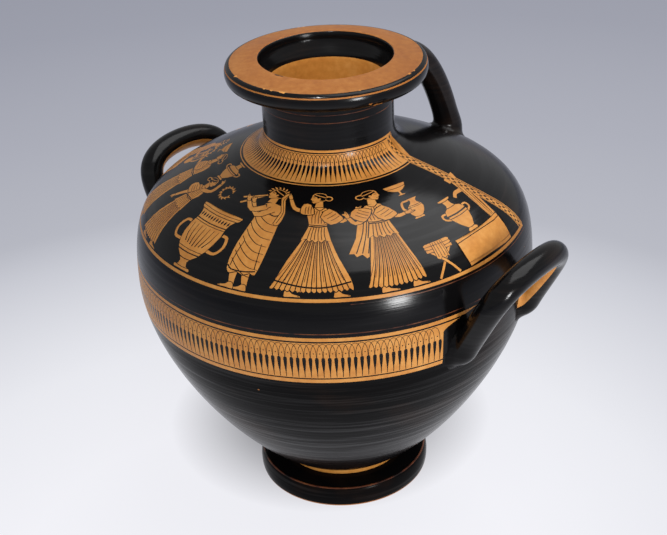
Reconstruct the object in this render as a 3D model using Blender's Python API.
"""A painted water jar: one fired-clay vessel, hollow, with two side handles and one back handle.

The front of the jar faces -Y and the back handle stands at +Y. The origin is at the middle of the foot,
on the surface that the jar stands on. All sizes are in metres and all angles in degrees.
"""

import math

import bpy
from mathutils import Matrix, Vector

# Heights, stacked from the surface that the jar stands on
FOOT_EDGE_HEIGHT = 0.0158
FOOT_TOP_RISE = 0.0014
STEM_RISE = 0.0038
BELLY_HEIGHT = 0.178
SHOULDER_RISE = 0.0725
NECK_BASE_RISE = 0.0315
NECK_LENGTH = 0.0335
LIP_DEPTH = 0.0145

# Foot
STEM_RADIUS = 0.0478
STEM_GROOVE = 0.0011
FOOT_SPREAD = 0.0162
FOOT_EDGE_INSET = 0.0025
FOOT_BASE_INSET = 0.0015
FOOT_RING_WIDTH = 0.0090
FOOT_PLATE = 0.0042
RECESS_SLOPE_WIDTH = 0.0115

# Belly and shoulder: the slopes are in degrees below the horizontal
BELLY_RADIUS = 0.1403
BELLY_RISE = 0.0500
BELLY_FALL = 0.0494
LOWER_SWEEP = 0.0540
LOWER_SLOPE = 36.3
SHOULDER_RADIUS = 0.0928
SHOULDER_SLOPE = 25.5
SHOULDER_HOLLOW = 0.0340
SHOULDER_SWELL = 0.0416

# Neck, mouth and lip
NECK_RADIUS = 0.0448
NECK_SWEEP = 0.0200
NECK_FILLET = 0.0040
MOUTH_RADIUS = 0.0449
MOUTH_RIM_WIDTH = 0.0018
LIP_FACE_WIDTH = 0.0197
LIP_FACE_DROP = 0.0025
LIP_BULGE = 0.0037
LIP_UNDERSIDE_FALL = 0.0035
THROAT_DEPTH = 0.0220

# Walls
WALL = 0.0055
FLOOR = 0.0085
BOWL_ROUND = 0.7

# Side handles: the loop leaves the wall at its two roots and slopes up and out
SIDE_HANDLE_RADIUS = 0.0087
SIDE_ROOT_DROP = 0.0089
SIDE_ROOT_SPREAD = 0.0764
SIDE_STANDOFF = 0.0028
SIDE_REACH = 0.0614
SIDE_TILT = 61.8
SIDE_ROUNDNESS = 0.29
SIDE_TURN = 2.8
SIDE_ROOT_FLARE = 1.2

# Back handle: it leaves the neck, rises to its crest and comes down on the shoulder
BACK_HANDLE_RADIUS = 0.0095
BACK_NECK_DROP = 0.0195
BACK_CREST_DROP = 0.0065
BACK_CREST_CLEARANCE = 0.0037
BACK_ROOT_SHARE = 0.52
BACK_BOW = 0.0220
BACK_FALL = 0.0350
BACK_LANDING_SLOPE = 74.0
BACK_LANDING_LIFT = 0.6
BACK_TURN = -4.5
BACK_ROOT_FLARE = 1.45

# Both kinds of handle widen where they join the vessel
ROOT_FLARE_LENGTH = 0.0260
ROOT_TAPER = 1.5
ROOT_DEPTH = 0.0120
ROOT_BEND = 1.2

# Sizes that follow from the ones above
FOOT_RADIUS = STEM_RADIUS + FOOT_SPREAD
FOOT_TOP_HEIGHT = FOOT_EDGE_HEIGHT + FOOT_TOP_RISE
STEM_HEIGHT = FOOT_TOP_HEIGHT + STEM_RISE
RECESS_DEPTH = FOOT_EDGE_HEIGHT - FOOT_PLATE
SHOULDER_HEIGHT = BELLY_HEIGHT + SHOULDER_RISE
NECK_BASE = SHOULDER_HEIGHT + NECK_BASE_RISE
LIP_UNDERSIDE = NECK_BASE + NECK_LENGTH
HEIGHT = LIP_UNDERSIDE + LIP_DEPTH
LIP_FACE_RADIUS = MOUTH_RADIUS + LIP_FACE_WIDTH
LIP_RADIUS = LIP_FACE_RADIUS + LIP_BULGE

# Fineness of the faceted solid
SEGMENTS = 56
BODY_STEPS = 7
LIP_STEPS = 6
FILLET_STEPS = 2
FOOT_STEPS = 4
THROAT_STEPS = 4
BOWL_STEPS = 3
LOOP_STEPS = 16
ARCH_STEPS = 8
ROOT_STEPS = 4
HANDLE_SIDES_SETTING = 5
MERGE = 0.00001

# Surface
BLACK_GLOSS = (0.012, 0.011, 0.011, 1.0)
BLACK_ROUGHNESS = 0.18


def clear_scene():
    for item in list(bpy.data.objects):
        bpy.data.objects.remove(item, do_unlink=True)


def bezier(start, start_pull, end_pull, end, steps):
    """Points along a cubic curve, with its start and without its end."""
    points = []
    for step in range(steps):
        t = step / steps
        weights = ((1 - t) ** 3, 3 * (1 - t) ** 2 * t, 3 * (1 - t) * t ** 2, t ** 3)
        corners = (start, start_pull, end_pull, end)
        points.append(sum((corner * weight for corner, weight in zip(corners, weights)), start * 0.0))
    return points


def slope_vector(degrees):
    """Unit vector in the profile's plane, out from the axis and up."""
    angle = math.radians(degrees)
    return Vector((math.cos(angle), math.sin(angle)))


def rounded_edge(upper, lower, reach, steps):
    """Outward round from one profile point to a lower one, with its middle at the radius given."""
    pull = (reach * 8.0 - upper.x - lower.x) / 6.0
    return bezier(upper, Vector((pull, upper.y)), Vector((pull, lower.y)), lower, steps) + [lower]


def body_curve():
    """Outer wall from the neck's base over the shoulder and belly to the stem, top to bottom."""
    neck_base = Vector((NECK_RADIUS, NECK_BASE))
    shoulder = Vector((SHOULDER_RADIUS, SHOULDER_HEIGHT))
    belly = Vector((BELLY_RADIUS, BELLY_HEIGHT))
    stem = Vector((STEM_RADIUS, STEM_HEIGHT))
    down_shoulder = slope_vector(-SHOULDER_SLOPE)
    points = bezier(
        neck_base,
        neck_base - Vector((0.0, NECK_SWEEP)),
        shoulder - down_shoulder * SHOULDER_HOLLOW,
        shoulder,
        BODY_STEPS,
    )
    points += bezier(
        shoulder,
        shoulder + down_shoulder * SHOULDER_SWELL,
        belly + Vector((0.0, BELLY_RISE)),
        belly,
        BODY_STEPS,
    )
    points += bezier(
        belly,
        belly - Vector((0.0, BELLY_FALL)),
        stem + slope_vector(LOWER_SLOPE) * LOWER_SWEEP,
        stem,
        BODY_STEPS,
    )
    return points + [stem]


def radius_at(height):
    """Outer radius of the wall between the shoulder's top and the stem, at a height."""
    curve = body_curve()
    for upper, lower in zip(curve, curve[1:]):
        if lower.y <= height <= upper.y:
            share = (upper.y - height) / (upper.y - lower.y)
            return upper.x + (lower.x - upper.x) * share
    return curve[0].x


def height_at(radius):
    """Height of the shoulder's outer surface at a radius, and the slope of its wall there."""
    curve = body_curve()
    for inner, outer in zip(curve, curve[1:]):
        if inner.x <= radius < outer.x:
            share = (radius - inner.x) / (outer.x - inner.x)
            return inner.y + (outer.y - inner.y) * share, (outer - inner).normalized()
    return BELLY_HEIGHT, Vector((0.0, -1.0))


def outer_profile():
    """The vessel's outside, from the axis at the top to the axis under the foot."""
    axis_top = Vector((0.0, HEIGHT))
    mouth_rim = Vector((MOUTH_RADIUS + MOUTH_RIM_WIDTH, HEIGHT))
    face_edge = Vector((LIP_FACE_RADIUS, HEIGHT - LIP_FACE_DROP))
    underside_edge = Vector((LIP_FACE_RADIUS, LIP_UNDERSIDE))
    lip = [axis_top, mouth_rim] + rounded_edge(face_edge, underside_edge, LIP_RADIUS, LIP_STEPS)
    neck_top = LIP_UNDERSIDE - LIP_UNDERSIDE_FALL
    corner = Vector((NECK_RADIUS, neck_top))
    fillet_end = Vector((NECK_RADIUS, neck_top - NECK_FILLET))
    neck = bezier(Vector((NECK_RADIUS + NECK_FILLET, neck_top)), corner, corner, fillet_end, FILLET_STEPS)
    neck.append(fillet_end)
    foot_top = Vector((STEM_RADIUS - STEM_GROOVE, FOOT_TOP_HEIGHT))
    foot_edge = Vector((FOOT_RADIUS - FOOT_EDGE_INSET, FOOT_EDGE_HEIGHT))
    foot_base = Vector((FOOT_RADIUS - FOOT_BASE_INSET, 0.0))
    ring_inner = Vector((foot_base.x - FOOT_RING_WIDTH, 0.0))
    recess_edge = Vector((ring_inner.x - RECESS_SLOPE_WIDTH, RECESS_DEPTH))
    foot = [foot_top] + rounded_edge(foot_edge, foot_base, FOOT_RADIUS, FOOT_STEPS)
    foot += [ring_inner, recess_edge, Vector((0.0, RECESS_DEPTH))]
    return lip + neck + body_curve() + foot


def offset_inward(curve, distance):
    """The curve moved towards the inside of the vessel by a distance."""
    moved = []
    last = len(curve) - 1
    for index, point in enumerate(curve):
        along = curve[min(index + 1, last)] - curve[max(index - 1, 0)]
        inward = Vector((along.y, -along.x)).normalized()
        moved.append(point + inward * distance)
    return moved


def cavity_profile():
    """The inside, from the axis above the mouth down to the axis on the vessel's floor."""
    floor_height = RECESS_DEPTH + FLOOR
    above = HEIGHT + WALL
    throat_radius = NECK_RADIUS - WALL
    throat_middle = HEIGHT - THROAT_DEPTH / 2.0
    throat_end = Vector((throat_radius, HEIGHT - THROAT_DEPTH))
    top = [Vector((0.0, above)), Vector((MOUTH_RADIUS, above))]
    top += bezier(
        Vector((MOUTH_RADIUS, HEIGHT - LIP_FACE_DROP)),
        Vector((MOUTH_RADIUS, throat_middle)),
        Vector((throat_radius, throat_middle)),
        throat_end,
        THROAT_STEPS,
    )
    top.append(throat_end)
    wall = offset_inward(body_curve(), WALL)
    inside = [point for point in wall[:-1:2] if point.y > floor_height + WALL]
    edge = inside.pop()
    axis = Vector((0.0, floor_height))
    lowest = Vector((edge.x * BOWL_ROUND, floor_height))
    return top + inside + bezier(edge, lowest, lowest.lerp(axis, 0.5), axis, BOWL_STEPS) + [axis]


def turned_solid(name, profile):
    """A solid turned about the jar's axis from a profile that starts and ends on it."""
    mesh = bpy.data.meshes.new(name)
    corners = [(point.x, 0.0, point.y) for point in profile]
    edges = [(index, index + 1) for index in range(len(corners) - 1)]
    mesh.from_pydata(corners, edges, [])
    turned = bpy.data.objects.new(name, mesh)
    bpy.context.collection.objects.link(turned)
    screw = turned.modifiers.new("turn", "SCREW")
    screw.angle = math.tau
    screw.steps = SEGMENTS
    screw.render_steps = SEGMENTS
    screw.use_merge_vertices = True
    screw.merge_threshold = MERGE
    return turned


def bend_into_wall(start, heading, target, end_thickness):
    """Path from a handle's end into the wall: an even bend from one heading to another, then straight."""
    step_length = end_thickness * ROOT_BEND * heading.angle(target) / ROOT_STEPS
    points = [start]
    for step in range(ROOT_STEPS):
        course = heading.slerp(target, (step + 0.5) / ROOT_STEPS)
        points.append(points[-1] + course * step_length)
    points.append(points[-1] + target * ROOT_DEPTH)
    return points


def rolled_handle(name, path, thickness, flare, turn):
    """A roll of clay along a path, wider at both ends, turned about the jar's axis."""
    curve = bpy.data.curves.new(name, "CURVE")
    curve.dimensions = "3D"
    curve.bevel_depth = thickness
    curve.bevel_resolution = HANDLE_SIDES_SETTING
    curve.use_fill_caps = True
    spline = curve.splines.new("POLY")
    spline.points.add(len(path) - 1)
    run = [0.0]
    for start, end in zip(path, path[1:]):
        run.append(run[-1] + (end - start).length)
    for point, place, distance in zip(spline.points, path, run):
        from_end = min(distance, run[-1] - distance) / (ROOT_DEPTH + ROOT_FLARE_LENGTH)
        point.co = (*place, 1.0)
        point.radius = 1.0 + (flare - 1.0) * max(0.0, 1.0 - from_end) ** ROOT_TAPER
    guide = bpy.data.objects.new(name + "_path", curve)
    bpy.context.collection.objects.link(guide)
    bpy.context.view_layer.update()
    mesh = bpy.data.meshes.new_from_object(guide.evaluated_get(bpy.context.evaluated_depsgraph_get()))
    bpy.data.objects.remove(guide, do_unlink=True)
    mesh.transform(Matrix.Rotation(math.radians(turn), 4, "Z"))
    roll = bpy.data.objects.new(name, mesh)
    bpy.context.collection.objects.link(roll)
    return roll


def side_handle_path(side):
    """Centre line of a side handle: side is 1 at +X and -1 at -X."""
    half = SIDE_ROOT_SPREAD / 2.0
    root_height = BELLY_HEIGHT - SIDE_ROOT_DROP
    wall_radius = radius_at(root_height)
    wall_x = math.sqrt(wall_radius ** 2 - half ** 2)
    tilt = math.radians(SIDE_TILT)
    inward = Vector((-wall_x, half, 0.0)).normalized()
    start = Vector((wall_x + SIDE_STANDOFF, -half, root_height))
    slope = Vector((math.cos(tilt), 0.0, math.sin(tilt)))
    entry = bend_into_wall(start, -slope, inward, SIDE_HANDLE_RADIUS * SIDE_ROOT_FLARE)
    entry.reverse()
    loop = []
    for step in range(1, LOOP_STEPS):
        angle = math.pi * step / LOOP_STEPS
        across = Vector((0.0, half - half * math.cos(angle), 0.0))
        loop.append(start + across + slope * SIDE_REACH * math.sin(angle) ** SIDE_ROUNDNESS)
    leaving = [Vector((point.x, -point.y, point.z)) for point in reversed(entry)]
    path = entry + loop + leaving
    return [Vector((point.x * side, point.y * side, point.z)) for point in path]


def back_handle_path():
    """Centre line of the back handle, in the plane through the jar's axis and +Y."""
    neck = Vector((NECK_RADIUS, LIP_UNDERSIDE - BACK_NECK_DROP))
    crest = Vector((LIP_RADIUS + BACK_CREST_CLEARANCE, LIP_UNDERSIDE - BACK_CREST_DROP))
    root_radius = SHOULDER_RADIUS + (BELLY_RADIUS - SHOULDER_RADIUS) * BACK_ROOT_SHARE
    root_height, down_wall = height_at(root_radius)
    inward = Vector((down_wall.y, -down_wall.x))
    landing = Vector((root_radius, root_height)) - inward * BACK_HANDLE_RADIUS * BACK_LANDING_LIFT
    upward = slope_vector(180.0 - BACK_LANDING_SLOPE)
    level = Vector(((crest.x - neck.x) / 2.0, 0.0))
    flat = [neck - Vector((ROOT_DEPTH, 0.0))]
    flat += bezier(neck, neck + level, crest - level, crest, ROOT_STEPS)
    flat += bezier(crest, crest + Vector((BACK_BOW, 0.0)), landing + upward * BACK_FALL, landing, ARCH_STEPS)
    arch = [Vector((0.0, point.x, point.y)) for point in flat]
    down = Vector((0.0, -upward.x, -upward.y))
    into_wall = Vector((0.0, inward.x, inward.y))
    end = Vector((0.0, landing.x, landing.y))
    return arch + bend_into_wall(end, down, into_wall, BACK_HANDLE_RADIUS * BACK_ROOT_FLARE)


def gloss_material():
    material = bpy.data.materials.new("black_gloss")
    material.use_nodes = True
    surface = material.node_tree.nodes["Principled BSDF"]
    surface.inputs["Base Color"].default_value = BLACK_GLOSS
    surface.inputs["Roughness"].default_value = BLACK_ROUGHNESS
    surface.inputs["Metallic"].default_value = 0.0
    return material


def combine(target, tool, operation):
    """Joins the tool to the target or cuts it away, and keeps the tool as a wire guide."""
    step = target.modifiers.new(operation.lower() + "_" + tool.name, "BOOLEAN")
    step.operation = operation
    step.object = tool
    step.solver = "EXACT"
    tool.hide_render = True
    tool.display_type = "WIRE"


def make_jar():
    jar = turned_solid("hydria", outer_profile())
    jar.data.materials.append(gloss_material())
    handles = [
        rolled_handle("right_handle", side_handle_path(1), SIDE_HANDLE_RADIUS, SIDE_ROOT_FLARE, SIDE_TURN),
        rolled_handle("left_handle", side_handle_path(-1), SIDE_HANDLE_RADIUS, SIDE_ROOT_FLARE, -SIDE_TURN),
        rolled_handle("back_handle", back_handle_path(), BACK_HANDLE_RADIUS, BACK_ROOT_FLARE, BACK_TURN),
    ]
    for handle in handles:
        combine(jar, handle, "UNION")
    combine(jar, turned_solid("cavity", cavity_profile()), "DIFFERENCE")
    return jar


clear_scene()
make_jar()
